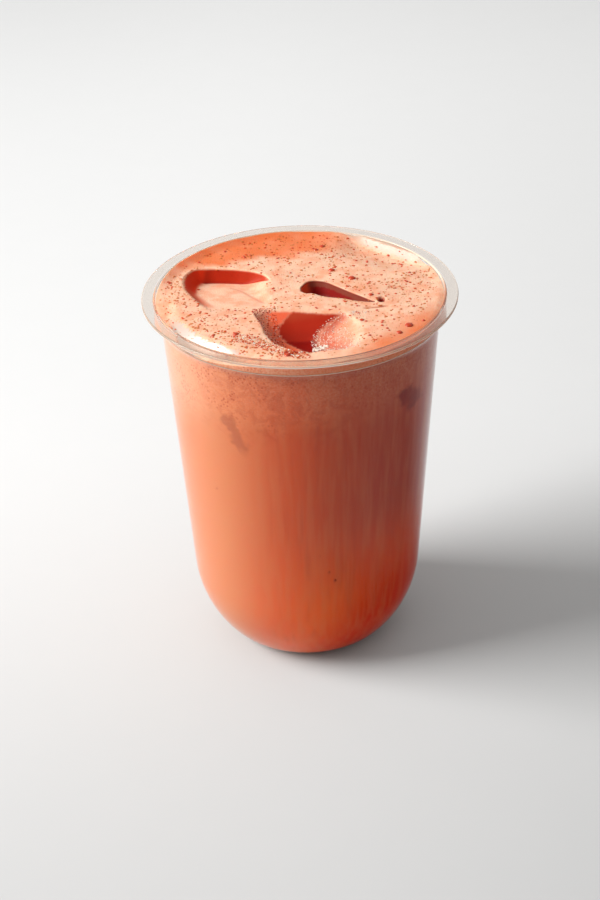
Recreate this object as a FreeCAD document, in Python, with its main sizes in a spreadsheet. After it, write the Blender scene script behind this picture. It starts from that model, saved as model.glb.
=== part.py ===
import FreeCAD, Part
import math
import os
import Sketcher

# A clear takeaway cup with a rounded bowl, filled to the brim with mixed fruit
# juice under a thick head of foam. Ice cubes lie just under the foam, and where
# they sank it has three dips: a tilted flat print, a tapered gash and a scoop.
#
# The origin is the middle of the circle that the cup stands on. +Z is up, and
# the scoop lies towards -Y. All sizes are millimetres and degrees.

SIZES = (
    # the cup
    ("rim_radius", 47.5, "middle of the cup to the edge of its flange"),
    ("cup_height", 118.0, "floor to the top of the flange"),
    ("flange_overhang", 3.5, "flange edge to the collar under it"),
    ("flange_thickness", 0.9, "thickness of the flange"),
    ("collar_height", 5.4, "flange top to the ledge under the collar"),
    ("ledge_width", 1.5, "step in from the collar to the wall"),
    ("taper_angle", 4.04, "lean of wall and collar from upright"),
    ("bowl_centre", 27.7, "height of the centre of the rounded bowl"),
    ("corner_radius", 12.7, "rounding between the bowl and the foot"),
    ("foot_width", 2.0, "width of the flat ring that the cup stands on"),
    ("base_lift", 1.0, "rise of the base inside that ring"),
    ("wall", 0.7, "thickness of the moulded wall"),
    ("rim_round", 0.35, "rounding of the flange edge"),
    ("mouth_round", 0.5, "rounding of the mouth and the ledge"),
    # the drink
    ("fill_gap", 0.25, "clearance between the drink and the wall"),
    ("headspace", 1.0, "flange top down to the foam"),
    ("foam_depth", 22.0, "foam surface down to the juice"),
    ("foam_round", 1.2, "rounding of the foam where it meets the wall"),
    # the print of a tilted cube, deepest at its far side
    ("print_length", 23.5, "left to right"),
    ("print_width", 34.0, "near to far, along its tilted floor"),
    ("print_inset", 10.5, "wall to its left side"),
    ("print_far_side", 18.2, "middle of the cup to its far side"),
    ("print_depth", 4.8, "depth at its far side"),
    ("print_tilt", 9.5, "slope of its floor"),
    ("print_round", 2.5, "rounding of the cube"),
    # the tapered gash along the edge of another cube
    ("gash_middle_x", 3.8, "middle of its wide end, to the right"),
    ("gash_middle_y", 5.4, "middle of its wide end, to the far side"),
    ("gash_length", 20.5, "between the middles of its two ends"),
    ("gash_turn", -29.0, "direction of its narrow end"),
    ("gash_wide", 3.8, "radius of its wide end"),
    ("gash_narrow", 0.7, "radius of its narrow end"),
    ("gash_depth", 5.0, "depth below the foam"),
    # the scoop over the nearest cube
    ("scoop_middle_x", 1.5, "its middle, to the right"),
    ("scoop_inset", 7.5, "wall to its near edge"),
    ("scoop_half_length", 15.9, "half the ball's size left to right"),
    ("scoop_half_width", 13.3, "half the ball's size near to far"),
    ("scoop_depth", 7.0, "depth below the foam"),
    ("scoop_rise", 2.0, "middle of the ball above the foam"),
)

# Derived sizes, as expressions on the sheet.
NO_OFFSET = "0"
CAVITY_OFFSET = "Sizes.wall"
DRINK_OFFSET = "(Sizes.wall + Sizes.fill_gap)"
FLANGE_UNDERSIDE = "(Sizes.cup_height - Sizes.flange_thickness)"
LEDGE_HEIGHT = "(Sizes.cup_height - Sizes.collar_height)"
FOAM_TOP = "(Sizes.cup_height - Sizes.headspace)"
JUICE_TOP = "(Sizes.cup_height - Sizes.headspace - Sizes.foam_depth)"

TOLERANCE = 1e-4
RAMP_ANGLE = 45.0


def leaning_face(top_radius, top_height, height, offset):
    """Radius, at a height, of a face that leans by the taper, moved in by an offset."""
    lean = "(%s - %s) * tan(Sizes.taper_angle)" % (height, top_height)
    return "(%s + %s - (%s) / cos(Sizes.taper_angle))" % (top_radius, lean, offset)


def collar_radius(height, offset):
    """Radius of the collar, which starts at the flange's underside."""
    top = "(Sizes.rim_radius - Sizes.flange_overhang)"
    return leaning_face(top, FLANGE_UNDERSIDE, height, offset)


def wall_radius(height, offset):
    """Radius of the tapered wall, which starts at the ledge under the collar."""
    top = "(%s - Sizes.ledge_width)" % collar_radius(LEDGE_HEIGHT, NO_OFFSET)
    return leaning_face(top, LEDGE_HEIGHT, height, offset)


def make_sheet(doc):
    """Write the driving sizes into a spreadsheet, each under its own alias."""
    sheet = doc.addObject("Spreadsheet::Sheet", "Sizes")
    for row, (alias, size, meaning) in enumerate(SIZES, start=1):
        sheet.set("A%d" % row, meaning)
        sheet.set("B%d" % row, str(size))
        sheet.setAlias("B%d" % row, alias)
    doc.recompute()
    return sheet


def new_body(doc, name):
    """Make an empty body whose label is its piece's name."""
    body = doc.addObject("PartDesign::Body", name)
    body.Label = name
    body.Placement = FreeCAD.Placement()
    return body


def new_sketch(body, name, role):
    """Make a sketch on one of the body's own origin planes."""
    sketch = body.newObject("Sketcher::SketchObject", name)
    planes = [plane for plane in body.Origin.OriginFeatures if plane.Role == role]
    sketch.AttachmentSupport = [(planes[0], "")]
    sketch.MapMode = "FlatFace"
    return sketch


class Outline:
    """A closed profile to turn about the Z axis, drawn anticlockwise from that axis.

    Its corners are held by sizes from the sheet, so the solver redraws it when a
    size changes. Each edge ends where the next one starts.
    """

    ORIGIN = (-1, 1)
    AXIS = -2
    START, END, CENTRE = 1, 2, 3

    def __init__(self, body, name):
        self.sketch = new_sketch(body, name, "XZ_Plane")
        self.edges = []

    def value(self, expression):
        """Work out an expression on the sheet as a plain number."""
        return float(self.sketch.evalExpression(expression))

    def hold(self, kind, references, expression):
        """Add a dimension that follows an expression on the sheet."""
        amount = self.value(expression)
        if kind == "Angle":
            amount = math.radians(amount)
        index = self.sketch.addConstraint(Sketcher.Constraint(kind, *references, amount))
        name = "size%d" % index
        self.sketch.renameConstraint(index, name)
        self.sketch.setExpression("Constraints." + name, expression)

    def fix(self, kind, *references):
        """Add a constraint that has no size."""
        self.sketch.addConstraint(Sketcher.Constraint(kind, *references))

    def add(self, curve, join):
        """Add an edge, joined to the last one by Coincident or Tangent."""
        edge = self.sketch.addGeometry(curve, False)
        if self.edges:
            self.fix(join, self.edges[-1], self.END, edge, self.START)
        self.edges.append(edge)
        return edge

    def line(self, start, end, join="Coincident"):
        """Add a straight edge between two points given as plain numbers."""
        ends = (FreeCAD.Vector(*start, 0), FreeCAD.Vector(*end, 0))
        self.pen = end
        return self.add(Part.LineSegment(*ends), join)

    def arc(self, centre, radius, first, last, join="Coincident"):
        """Add an anticlockwise arc between two directions in radians."""
        circle = Part.Circle(FreeCAD.Vector(*centre, 0), FreeCAD.Vector(0, 0, 1), radius)
        self.pen = (centre[0] + radius * math.cos(last), centre[1] + radius * math.sin(last))
        return self.add(Part.ArcOfCircle(circle, first, last), join)

    def start_on_axis(self, height):
        """Put the pen on the axis; the first edge is held there."""
        self.pen = (0.0, self.value(height))

    def line_to(self, radius, height):
        """Draw a straight edge to a corner held by its radius and height."""
        edge = self.line(self.pen, (self.value(radius), self.value(height)))
        self.hold("DistanceX", (*self.ORIGIN, edge, self.END), radius)
        self.hold("DistanceY", (*self.ORIGIN, edge, self.END), height)
        if len(self.edges) == 1:
            self.fix("PointOnObject", edge, self.START, self.AXIS)
            self.fix("Horizontal", edge)
        return edge

    def line_to_axis(self, height):
        """Draw a level edge back to the axis."""
        edge = self.line(self.pen, (0.0, self.value(height)))
        self.fix("PointOnObject", edge, self.END, self.AXIS)
        self.fix("Horizontal", edge)

    def close(self):
        """Close the profile along the axis."""
        first = self.sketch.getPoint(self.edges[0], self.START)
        edge = self.line(self.pen, (first.x, first.y))
        self.fix("Coincident", edge, self.END, self.edges[0], self.START)

    def bowl(self, offset):
        """Draw the base, the rounded bowl and the lower wall, moved in by an offset.

        The base rises inside the foot ring by a short ramp. The corner arc, the bowl
        arc about the axis and the wall's line run on from each other without a kink.
        """
        lean = math.radians(self.value("Sizes.taper_angle"))
        inset = self.value(offset)
        lift = self.value("Sizes.base_lift")
        centre = self.value("Sizes.bowl_centre")
        corner = self.value("Sizes.corner_radius")
        wall = self.value(wall_radius("Sizes.bowl_centre", NO_OFFSET)) * math.cos(lean)
        foot = math.sqrt((wall - corner) ** 2 - (centre - corner) ** 2)
        turn = math.atan2(corner - centre, foot)
        ramp = inset * math.tan(math.radians(RAMP_ANGLE / 2))
        ring = foot - self.value("Sizes.foot_width") + ramp

        base = self.line((0.0, lift + inset), (ring - lift, lift + inset))
        slope = self.line(self.pen, (ring, inset))
        flat = self.line(self.pen, (foot, inset))
        heel = self.arc((foot, corner), corner - inset, -math.pi / 2, turn, "Tangent")
        bowl = self.arc((0.0, centre), wall - inset, turn, -lean, "Tangent")

        self.fix("PointOnObject", base, self.START, self.AXIS)
        self.fix("Horizontal", base)
        self.fix("Horizontal", flat)
        self.fix("PointOnObject", bowl, self.CENTRE, self.AXIS)
        self.hold("DistanceX", (slope, self.START, slope, self.END), "Sizes.base_lift")
        self.hold("DistanceY", (slope, self.END, slope, self.START), "Sizes.base_lift")
        ring_width = "Sizes.foot_width - (%s) * tan(%s)" % (offset, RAMP_ANGLE / 2)
        self.hold("DistanceX", (flat, self.START, flat, self.END), ring_width)
        self.hold("DistanceY", (*self.ORIGIN, heel, self.CENTRE), "Sizes.corner_radius")
        self.hold("Radius", (heel,), "Sizes.corner_radius - (%s)" % offset)
        self.hold("DistanceY", (*self.ORIGIN, bowl, self.CENTRE), "Sizes.bowl_centre")

    def wall_to(self, height, offset):
        """Draw the wall from the bowl's edge up to a height."""
        end = (self.value(wall_radius(height, offset)), self.value(height))
        edge = self.line(self.pen, end, "Tangent")
        self.hold("DistanceX", (*self.ORIGIN, edge, self.END), wall_radius(height, offset))
        self.hold("DistanceY", (*self.ORIGIN, edge, self.END), height)
        self.hold("Angle", (edge,), "90 - Sizes.taper_angle")


def turn_solid(body, sketch, name):
    """Turn a profile about the Z axis into a solid."""
    solid = body.newObject("PartDesign::Revolution", name)
    solid.Profile = sketch
    solid.ReferenceAxis = (sketch, ["V_Axis"])
    solid.Angle = 360
    return solid


def turn_cut(body, sketch, name):
    """Turn a profile about the Z axis and take it away."""
    cut = body.newObject("PartDesign::Groove", name)
    cut.Profile = sketch
    cut.ReferenceAxis = (sketch, ["V_Axis"])
    cut.Angle = 360
    return cut


def ring_edges(shape, rings):
    """Names of the circular edges that lie at the given radii and heights."""
    names = []
    for number, edge in enumerate(shape.Edges, start=1):
        if edge.Degenerated or not isinstance(edge.Curve, Part.Circle):
            continue
        for radius, height in rings:
            same_radius = abs(edge.Curve.Radius - radius) < TOLERANCE
            same_height = abs(edge.Curve.Center.z - height) < TOLERANCE
            if same_radius and same_height:
                names.append("Edge%d" % number)
    return names


def round_rings(body, feature, name, outline, rings, radius):
    """Round the edges at the given rings, each a radius and a height on the sheet."""
    feature.Document.recompute()
    places = [(outline.value(r), outline.value(z)) for r, z in rings]
    edges = ring_edges(feature.Shape, places)
    if len(edges) != len(rings):
        raise ValueError("%s finds %d of %d edges" % (name, len(edges), len(rings)))
    rounding = body.newObject("PartDesign::Fillet", name)
    rounding.Base = (feature, edges)
    rounding.setExpression("Radius", radius)
    return rounding


def make_cup(doc):
    """The moulded cup: flange, collar, tapered wall, rounded bowl and foot ring."""
    body = new_body(doc, "cup")
    outside = Outline(body, "cup_outside")
    outside.bowl(NO_OFFSET)
    outside.wall_to(LEDGE_HEIGHT, NO_OFFSET)
    outside.line_to(collar_radius(LEDGE_HEIGHT, NO_OFFSET), LEDGE_HEIGHT)
    outside.line_to(collar_radius(FLANGE_UNDERSIDE, NO_OFFSET), FLANGE_UNDERSIDE)
    outside.line_to("Sizes.rim_radius", FLANGE_UNDERSIDE)
    outside.line_to("Sizes.rim_radius", "Sizes.cup_height")
    outside.line_to_axis("Sizes.cup_height")
    outside.close()
    turn_solid(body, outside.sketch, "cup_block")

    ledge = "(%s + %s)" % (LEDGE_HEIGHT, CAVITY_OFFSET)
    mouth = collar_radius("Sizes.cup_height", CAVITY_OFFSET)
    inside = Outline(body, "cup_inside")
    inside.bowl(CAVITY_OFFSET)
    inside.wall_to(ledge, CAVITY_OFFSET)
    inside.line_to(collar_radius(ledge, CAVITY_OFFSET), ledge)
    inside.line_to(mouth, "Sizes.cup_height")
    inside.line_to_axis("Sizes.cup_height")
    inside.close()
    hollow = turn_cut(body, inside.sketch, "cup_hollow")

    flange_edges = (
        ("Sizes.rim_radius", "Sizes.cup_height"),
        ("Sizes.rim_radius", FLANGE_UNDERSIDE),
    )
    flange = round_rings(body, hollow, "flange_round", inside, flange_edges, "Sizes.rim_round")
    mouth_edges = (
        (mouth, "Sizes.cup_height"),
        (collar_radius(LEDGE_HEIGHT, NO_OFFSET), LEDGE_HEIGHT),
    )
    round_rings(body, flange, "mouth_rounds", inside, mouth_edges, "Sizes.mouth_round")
    return body


def make_juice(doc):
    """The juice, from the base up to the underside of the foam."""
    body = new_body(doc, "juice")
    outline = Outline(body, "juice_outline")
    outline.bowl(DRINK_OFFSET)
    outline.wall_to(JUICE_TOP, DRINK_OFFSET)
    outline.line_to_axis(JUICE_TOP)
    outline.close()
    turn_solid(body, outline.sketch, "juice_fill")
    return body


def make_foam_block(doc):
    """The head of foam before the ice leaves its dips, with the gash pocketed."""
    body = new_body(doc, "foam_block")
    ledge = "(%s + %s)" % (LEDGE_HEIGHT, DRINK_OFFSET)
    edge_radius = collar_radius(FOAM_TOP, DRINK_OFFSET)
    outline = Outline(body, "foam_outline")
    outline.start_on_axis(JUICE_TOP)
    outline.line_to(wall_radius(JUICE_TOP, DRINK_OFFSET), JUICE_TOP)
    outline.line_to(wall_radius(ledge, DRINK_OFFSET), ledge)
    outline.line_to(collar_radius(ledge, DRINK_OFFSET), ledge)
    outline.line_to(edge_radius, FOAM_TOP)
    outline.line_to_axis(FOAM_TOP)
    outline.close()
    fill = turn_solid(body, outline.sketch, "foam_fill")
    edges = ((edge_radius, FOAM_TOP),)
    round_rings(body, fill, "foam_edge_round", outline, edges, "Sizes.foam_round")

    gash = body.newObject("PartDesign::Pocket", "gash")
    gash.Profile = draw_gash(body)
    gash.setExpression("Length", "Sizes.headspace + Sizes.gash_depth")
    return body


def draw_gash(body):
    """The gash seen from above: two round ends joined by straight sides."""
    sketch = new_sketch(body, "gash_outline", "XY_Plane")
    place = ".AttachmentOffset.Base."
    sketch.setExpression(place + "x", "Sizes.gash_middle_x")
    sketch.setExpression(place + "y", "Sizes.gash_middle_y")
    sketch.setExpression(place + "z", "Sizes.cup_height")
    sketch.setExpression(".AttachmentOffset.Rotation.Angle", "Sizes.gash_turn")

    wide = float(sketch.evalExpression("Sizes.gash_wide"))
    narrow = float(sketch.evalExpression("Sizes.gash_narrow"))
    length = float(sketch.evalExpression("Sizes.gash_length"))
    turn = math.acos((wide - narrow) / length)
    up = FreeCAD.Vector(0, 0, 1)
    far = FreeCAD.Vector(length, 0, 0)
    lean = FreeCAD.Vector(math.cos(turn), math.sin(turn), 0)
    wide_circle = Part.Circle(FreeCAD.Vector(), up, wide)
    narrow_circle = Part.Circle(far, up, narrow)
    start, end, centre = Outline.START, Outline.END, Outline.CENTRE

    big = sketch.addGeometry(Part.ArcOfCircle(wide_circle, turn, 2 * math.pi - turn), False)
    small = sketch.addGeometry(Part.ArcOfCircle(narrow_circle, -turn, turn), False)
    side = Part.LineSegment(far + lean * narrow, lean * wide)
    lean.y = -lean.y
    other = Part.LineSegment(lean * wide, far + lean * narrow)
    near = sketch.addGeometry(other, False)
    away = sketch.addGeometry(side, False)
    for first, second in ((big, near), (near, small), (small, away), (away, big)):
        sketch.addConstraint(Sketcher.Constraint("Tangent", first, end, second, start))
    sketch.addConstraint(Sketcher.Constraint("Coincident", big, centre, *Outline.ORIGIN))
    sketch.addConstraint(Sketcher.Constraint("PointOnObject", small, centre, -1))
    sizes = (
        ("Radius", (big, wide), "gash_wide"),
        ("Radius", (small, narrow), "gash_narrow"),
        ("DistanceX", (*Outline.ORIGIN, small, centre, length), "gash_length"),
    )
    for kind, references, alias in sizes:
        index = sketch.addConstraint(Sketcher.Constraint(kind, *references))
        sketch.renameConstraint(index, alias)
        sketch.setExpression("Constraints." + alias, "Sizes." + alias)
    return sketch


def turned_about(axis, angle):
    """A placement at the origin, turned about an axis by an angle in degrees."""
    return FreeCAD.Placement(FreeCAD.Vector(), FreeCAD.Rotation(axis, angle))


def make_print(doc):
    """The tilted, rounded cube that leaves the flat print in the foam."""
    cube = doc.addObject("Part::Box", "print_cube")
    cube.setExpression("Length", "Sizes.print_length")
    cube.setExpression("Width", "Sizes.print_width")
    cube.setExpression("Height", "Sizes.print_width")
    doc.recompute()
    rounded = doc.addObject("Part::Fillet", "ice_print")
    rounded.Base = cube
    radius = float(cube.evalExpression("Sizes.print_round"))
    rounded.Edges = [(number, radius, radius) for number in range(1, len(cube.Shape.Edges) + 1)]

    # The cube's lower far edge lies at the print's depth, and its floor climbs from there.
    left_x = "-(%s - Sizes.print_inset)" % collar_radius(FOAM_TOP, DRINK_OFFSET)
    near_y = "Sizes.print_far_side - Sizes.print_width * cos(Sizes.print_tilt)"
    climb = "Sizes.print_width * sin(Sizes.print_tilt)"
    rounded.Placement = turned_about(FreeCAD.Vector(1, 0, 0), 0)
    rounded.setExpression("Placement.Base.x", left_x)
    rounded.setExpression("Placement.Base.y", near_y)
    rounded.setExpression("Placement.Base.z", "%s - Sizes.print_depth + %s" % (FOAM_TOP, climb))
    rounded.setExpression("Placement.Rotation.Angle", "-Sizes.print_tilt")
    return rounded


def make_scoop(doc):
    """The flattened ball that leaves the scoop, with its poles left and right."""
    scoop = doc.addObject("Part::Ellipsoid", "scoop")
    scoop.setExpression("Radius1", "Sizes.scoop_half_length")
    scoop.setExpression("Radius2", "Sizes.scoop_depth + Sizes.scoop_rise")
    scoop.setExpression("Radius3", "Sizes.scoop_half_width")
    scoop.Angle1 = -90
    scoop.Angle2 = 90
    scoop.Angle3 = 360
    scoop.Placement = turned_about(FreeCAD.Vector(0, 1, 0), 90)
    near_edge = "-(%s - Sizes.scoop_inset)" % collar_radius(FOAM_TOP, DRINK_OFFSET)
    scoop.setExpression("Placement.Base.x", "Sizes.scoop_middle_x")
    scoop.setExpression("Placement.Base.y", near_edge + " + Sizes.scoop_half_width")
    scoop.setExpression("Placement.Base.z", FOAM_TOP + " + Sizes.scoop_rise")
    return scoop


def make_foam(doc):
    """The head of foam, with the prints of the ice cubes taken from its top."""
    block = make_foam_block(doc)
    dips = doc.addObject("Part::MultiFuse", "dips")
    dips.Shapes = [make_print(doc), make_scoop(doc)]
    foam = doc.addObject("Part::Cut", "foam")
    foam.Base = block
    foam.Tool = dips
    foam.Label = "foam"
    foam.Placement = FreeCAD.Placement()
    return foam


def check_document(doc):
    """Stop if any object of the document failed to build."""
    for item in doc.Objects:
        if "Invalid" in item.State or "Error" in item.State:
            raise ValueError("%s is %s" % (item.Name, item.State))


def write_step(piece):
    """Write one piece to parts/, under its label, once its shape is sound."""
    shape = piece.Shape
    if shape.isNull() or not shape.isValid() or len(shape.Solids) != 1:
        raise ValueError("%s is not one sound solid" % piece.Label)
    shape.exportStep("parts/%s.step" % piece.Label)
    print("%-6s %10.1f mm3" % (piece.Label, shape.Volume))


def main():
    """Build the document and write a STEP file for each piece."""
    doc = FreeCAD.newDocument("fruit_juice")
    make_sheet(doc)
    pieces = [make_cup(doc), make_juice(doc), make_foam(doc)]
    doc.recompute()
    check_document(doc)
    os.makedirs("parts", exist_ok=True)
    for piece in pieces:
        write_step(piece)


main()
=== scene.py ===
import math

import bpy
import numpy as np
from mathutils import Matrix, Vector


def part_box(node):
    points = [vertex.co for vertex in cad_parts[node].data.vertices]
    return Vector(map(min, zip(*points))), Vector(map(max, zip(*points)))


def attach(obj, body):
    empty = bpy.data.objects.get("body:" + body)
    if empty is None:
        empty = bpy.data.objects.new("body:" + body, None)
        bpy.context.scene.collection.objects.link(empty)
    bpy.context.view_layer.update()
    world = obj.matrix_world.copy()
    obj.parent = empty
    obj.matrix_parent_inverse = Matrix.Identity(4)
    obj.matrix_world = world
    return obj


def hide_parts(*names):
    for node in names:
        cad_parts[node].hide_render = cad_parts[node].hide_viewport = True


bl_info = {
    "name": "Fruit juice in a clear cup",
    "version": (1, 0, 0),
    "blender": (4, 5, 0),
    "location": "3D View > Sidebar > Fruit juice",
    "description": "Builds an iced mixed fruit juice with a thick foam in a clear takeaway cup",
    "category": "Add Mesh",
}

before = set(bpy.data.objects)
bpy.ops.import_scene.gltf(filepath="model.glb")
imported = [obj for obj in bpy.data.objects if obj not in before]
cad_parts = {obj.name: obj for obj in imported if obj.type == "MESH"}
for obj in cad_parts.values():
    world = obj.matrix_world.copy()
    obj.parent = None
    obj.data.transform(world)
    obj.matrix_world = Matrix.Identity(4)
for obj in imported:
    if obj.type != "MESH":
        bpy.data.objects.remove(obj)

MM = 0.001
SEED = 20


def srgb(red, green, blue):
    """A colour given in the usual 0 to 255 steps, as linear light."""
    steps = np.array((red, green, blue)) / 255
    low, high = steps / 12.92, ((steps + 0.055) / 1.055) ** 2.4
    return tuple(float(c) for c in np.where(steps <= 0.04045, low, high))


def length(name, description, millimetres):
    """A length a user can change, in millimetres here and in metres on the panel."""
    return bpy.props.FloatProperty(
        name=name, description=description, default=millimetres * MM, unit="LENGTH", precision=5)


def colour(name, place, steps):
    """A colour a user can change, described by where it shows."""
    return bpy.props.FloatVectorProperty(
        name=name, description=f"Colour of {place}", default=srgb(*steps), size=3,
        subtype="COLOR", min=0, max=1)


def amount(name, description, value):
    """A plain number a user can change."""
    return bpy.props.FloatProperty(name=name, description=description, default=value)


def count(name, description, value):
    """A whole number a user can change."""
    return bpy.props.IntProperty(name=name, description=description, default=value)


# --- settings ---

class CupSettings(bpy.types.PropertyGroup):
    """Sizes and finish of the moulded cup."""
    overhang: length("Flange overhang", "Flange edge to the collar under it", 3.5)
    flange: length("Flange thickness", "Thickness of the flange", 0.9)
    collar: length("Collar height", "Flange top to the ledge under the collar", 5.4)
    ledge: length("Ledge width", "Step in from the collar to the wall", 1.5)
    wall: length("Wall", "Thickness of the moulded wall", 0.7)
    bowl_centre: length("Bowl centre", "Height of the centre of the rounded bowl", 27.7)
    corner: length("Corner radius", "Rounding between the bowl and the foot", 12.7)
    foot: length("Foot width", "Width of the ring that the cup stands on", 2.0)
    lift: length("Base lift", "Rise of the base inside that ring", 1.0)
    taper: amount("Taper", "Lean of wall and collar from upright, in degrees", 4.04)
    tint: colour("Tint", "the clear plastic", (253, 253, 252))
    flange_tint: colour("Flange tint", "the plastic seen edge on", (246, 238, 231))
    # Painted glow: the flange at the front takes the drink's colour, for the drink's light seen
    # through it.
    front_glow: colour("Front tint", "the flange over the drink's own light", (240, 212, 194))
    # Colour of the flange's own frost and of the painted light in thin pale lines along the
    # plastic's edges.
    frost_and_glow: colour("Haze", "the milky edges of the plastic", (250, 226, 200))
    # Painted shade: the dark line along the near edge of the mouth.
    mouth: colour("Mouth", "the near edge of the mouth", (176, 96, 58))


class DrinkSettings(bpy.types.PropertyGroup):
    """Sizes and colours of the juice and its foam."""
    bite: length("Bite", "How far the drink reaches into the wall", 0.12)
    # The first three juice colours are lit, half-lit and shaded copies of one colour, painted shade
    # across the side away from the light; the third also colours real dark streaks, specks and
    # pulp.
    juice: colour("Juice", "the juice nearest the light", (221, 132, 86))
    juice_half_shaded: colour("Middle juice", "the juice half way round", (224, 88, 36))
    juice_dark_and_shade: colour("Deep juice", "the juice away from the light", (178, 50, 14))
    # Painted light: the juice brighter low on the lit side.
    juice_lit_low: colour("Low juice", "the juice low at the front", (246, 106, 50))
    # Painted glow: the juice red low on the shaded side, and in the print's far corner.
    juice_glow: colour("Glowing juice", "the juice low on the shaded side", (206, 42, 2))
    foam: colour("Foam", "the pale foam", (248, 200, 168))
    foam_warm: colour("Warm foam", "the foam where juice shows through", (236, 122, 70))
    # Juice red on the dips' walls, in part painted shade; the next colour is painted shade at their
    # darkest bottoms.
    wet: colour("Wet", "the juice-wet walls of the dips", (182, 40, 8))
    wet_in_shade: colour("Deep wet", "the darkest bottom of the dips", (138, 9, 1))
    pore: colour("Pore", "the open pores of the foam", (216, 124, 68))
    bubble: colour("Bubble", "the red bubbles", (220, 84, 44))
    froth: colour("Froth", "the tiny clear bubbles", (255, 230, 212))
    ice: colour("Ice", "the ice cubes seen through juice", (158, 72, 50))
    ice_dark: colour("Dark ice", "the ice seen on the shaded side", (138, 10, 0))
    gleam: colour("Gleam", "the foam where it gleams", (196, 174, 160))


class StageSettings(bpy.types.PropertyGroup):
    """The floor and the lights."""
    floor: colour("Floor", "the floor", (236, 236, 235))
    key: amount("Key light", "Power of the key light in watts", 22.5)
    sky: amount("Surroundings", "Strength of the light from overhead", 0.56)


# --- numbers and surfaces ---

def settings():
    """The three groups of settings."""
    scene = bpy.context.scene
    return scene.juice_cup, scene.juice_drink, scene.juice_stage


def mix(first, second, share):
    """The value a share of the way from the first to the second."""
    return first + (second - first) * share


def step(low, high, value):
    """0 below low, 1 above high and a smooth curve in between."""
    t = np.clip((np.asarray(value, float) - low) / (high - low), 0, 1)
    return t * t * (3 - 2 * t)


def smooth_max(first, second, soft):
    """The larger of two fields, rounded over where they are within soft of each other."""
    share = np.clip(0.5 + 0.5 * (first - second) / soft, 0, 1)
    return second + (first - second) * share + soft * share * (1 - share)


def smooth_min(first, second, soft):
    """The smaller of two fields, rounded over where they are within soft of each other."""
    return -smooth_max(-first, -second, soft)


def angle_from(angle, centre):
    """How far an angle is from a centre, the short way round."""
    return np.abs((angle - centre + np.pi) % (2 * np.pi) - np.pi)


def mesh_object(name, verts, faces, material, body="root"):
    """A smooth mesh object from plain arrays, riding on a body of the frame."""
    mesh = bpy.data.meshes.new(name)
    mesh.from_pydata(verts.tolist(), [], faces if isinstance(faces, list) else faces.tolist())
    mesh.validate()
    mesh.shade_smooth()
    mesh.materials.append(material)
    piece = bpy.data.objects.new(name, mesh)
    bpy.context.scene.collection.objects.link(piece)
    if body:
        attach(piece, body)
    return piece


def slopes(field, x, y, reach=0.12):
    """Upward normals of a height field, from its values a little to each side."""
    across = field(x + reach, y) - field(x - reach, y)
    along_y = field(x, y + reach) - field(x, y - reach)
    normals = np.stack([-across, -along_y, 2 * reach + 0 * across], -1)
    return normals / np.linalg.norm(normals, axis=-1, keepdims=True)


def paint_points(piece, name, colours):
    """Give a mesh one colour per vertex, rows of three linear values."""
    values = np.ones((len(piece.data.vertices), 4), np.float32)
    values[:, :3] = colours
    layer = piece.data.color_attributes.new(name, "FLOAT_COLOR", "POINT")
    layer.data.foreach_set("color", values.ravel())


def weigh_points(piece, name, weights):
    """Give a mesh one plain number per vertex."""
    layer = piece.data.attributes.new(name, "FLOAT", "POINT")
    layer.data.foreach_set("value", np.asarray(weights, np.float32).ravel())


def turned(profile, segments):
    """Turn a profile of radius and height, both ends on the axis, once round Z.

    Point (i, j) lies at (r_i cos a_j, r_i sin a_j, z_i), with a_j even steps of the
    full turn. The two ends are single points.
    """
    profile = np.asarray(profile, float)
    around = np.linspace(0, 2 * np.pi, segments, endpoint=False)
    r, z = profile[1:-1, 0][:, None], profile[1:-1, 1][:, None]
    grid = np.stack([r * np.cos(around), r * np.sin(around), z + 0 * around], -1)
    return capped(grid, (0, 0, profile[0, 1]), (0, 0, profile[-1, 1]))


def capped(grid, first, last):
    """Vertices and faces of a grid of closed rings, with a point closing each end."""
    rings, segments = grid.shape[:2]
    verts = np.vstack([[first], grid.reshape(-1, 3), [last]])
    j = np.arange(segments)
    k = (j + 1) % segments
    i = np.arange(rings - 1)[:, None] * segments + 1
    quads = np.stack([i + j, i + k, i + segments + k, i + segments + j], -1).reshape(-1, 4)
    end = len(verts) - 1
    start_fan = np.stack([0 * j, 1 + k, 1 + j], -1)
    end_fan = np.stack([0 * j + end, end - segments + j, end - segments + k], -1)
    return verts, quads.tolist() + start_fan.tolist() + end_fan.tolist()


def rounded(corners, steps):
    """A profile of radius, height and rounding, its corners replaced by arcs.

    Each arc touches both sides of its corner; a rounding of 0 keeps the corner.
    """
    corners = np.asarray(corners, float)
    points, radii = corners[:, :2], corners[:, 2]
    out = [points[0]]
    for before, corner, after, radius in zip(points, points[1:], points[2:], radii[1:-1]):
        if radius == 0:
            out.append(corner)
            continue
        one, two = before - corner, after - corner
        one, two = one / np.linalg.norm(one), two / np.linalg.norm(two)
        half = math.acos(np.clip(one @ two, -1, 1)) / 2
        reach = radius / math.tan(half)
        middle = corner + (one + two) / np.linalg.norm(one + two) * radius / math.sin(half)
        start, end = corner + one * reach - middle, corner + two * reach - middle
        turn = math.atan2(start[0] * end[1] - start[1] * end[0], start @ end)
        for share in np.linspace(0, 1, steps + 1):
            c, s = math.cos(turn * share), math.sin(turn * share)
            out.append(middle + (c * start[0] - s * start[1], s * start[0] + c * start[1]))
    return np.array(out + [points[-1]])


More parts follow.
